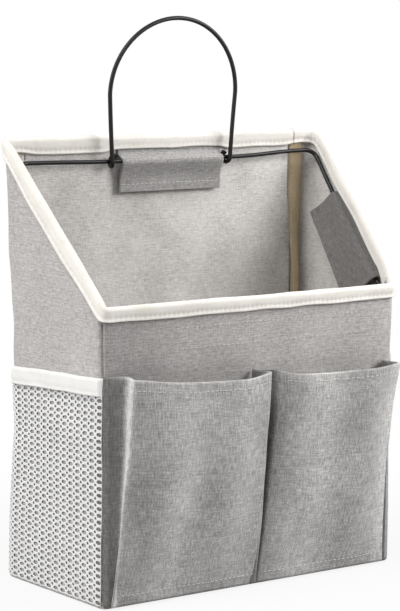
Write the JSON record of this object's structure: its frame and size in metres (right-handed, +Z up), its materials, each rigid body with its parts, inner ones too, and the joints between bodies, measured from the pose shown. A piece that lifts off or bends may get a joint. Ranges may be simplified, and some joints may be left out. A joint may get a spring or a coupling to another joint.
{
  "type": "bedside caddy",
  "caption": "Hanging fabric bedside caddy with a low front, a high back, pleated front pockets, side net pockets, a wire rim frame and a swinging wire bail.",
  "frame": {"origin": "centre of the bottom panel's underside, on the surface that the bag stands on", "axes": "+X to the user's right, +Y to the back, +Z up"},
  "size_m": [0.2194, 0.1101, 0.324],
  "materials": {
    "gray_cloth": "matte slubbed linen-look cloth",
    "tab_cloth": "matte linen-look cloth, doubled",
    "cream_binding": "soft folded cotton tape",
    "beige_tape": "plain woven seam tape",
    "white_net": "open knitted mesh",
    "touch_tape": "hook and loop tape",
    "black_wire": "black satin enamel"
  },
  "bodies": {
    "bag": {"bottom_panel": "gray_cloth", "front_panel": "gray_cloth", "back_panel": "gray_cloth", "left_panel": "gray_cloth", "right_panel": "gray_cloth", "front_pocket_left": "gray_cloth", "front_pocket_right": "gray_cloth", "rim_binding": "cream_binding", "net_band_left": "cream_binding", "net_band_right": "cream_binding", "floor_seam_tape": "beige_tape", "corner_tape_back_left": "beige_tape", "corner_tape_back_right": "beige_tape", "corner_tape_front_left": "beige_tape", "corner_tape_front_right": "beige_tape", "side_net_left": "white_net", "side_net_right": "white_net", "loop_tape_back": "touch_tape", "loop_tape_front": "touch_tape", "loop_tape_left": "touch_tape", "loop_tape_right": "touch_tape", "wire_frame": "black_wire"},
    "bail": {"hanging_bail": "black_wire"},
    "tab_back": {"tab_back": "tab_cloth", "hook_tape_back": "touch_tape"},
    "tab_front": {"tab_front": "tab_cloth", "hook_tape_front": "touch_tape"},
    "tab_left": {"tab_left": "tab_cloth", "hook_tape_left": "touch_tape"},
    "tab_right": {"tab_right": "tab_cloth", "hook_tape_right": "touch_tape"}
  },
  "joints": [
    {"name": "bail_swing", "type": "hinge", "parent": "bag", "child": "bail", "pos_m": [0, 0.041, 0.2395], "axis": [1, 0, 0], "range_deg": [-15, 165]},
    {"name": "tab_back_lift", "type": "hinge", "parent": "bag", "child": "tab_back", "pos_m": [0, 0.0444, 0.2458], "axis": [-1, 0, 0], "range_deg": [0, 80]},
    {"name": "tab_front_lift", "type": "hinge", "parent": "bag", "child": "tab_front", "pos_m": [0, -0.0444, 0.1621], "axis": [1, 0, 0], "range_deg": [0, 80]},
    {"name": "tab_left_lift", "type": "hinge", "parent": "bag", "child": "tab_left", "pos_m": [-0.10001, -0.0145, 0.19029], "axis": [0.0689, -0.727, -0.6832], "range_deg": [-20, 60]},
    {"name": "tab_right_lift", "type": "hinge", "parent": "bag", "child": "tab_right", "pos_m": [0.10001, -0.0145, 0.19029], "axis": [0.0689, 0.727, 0.6832], "range_deg": [-20, 60]}
  ]
}
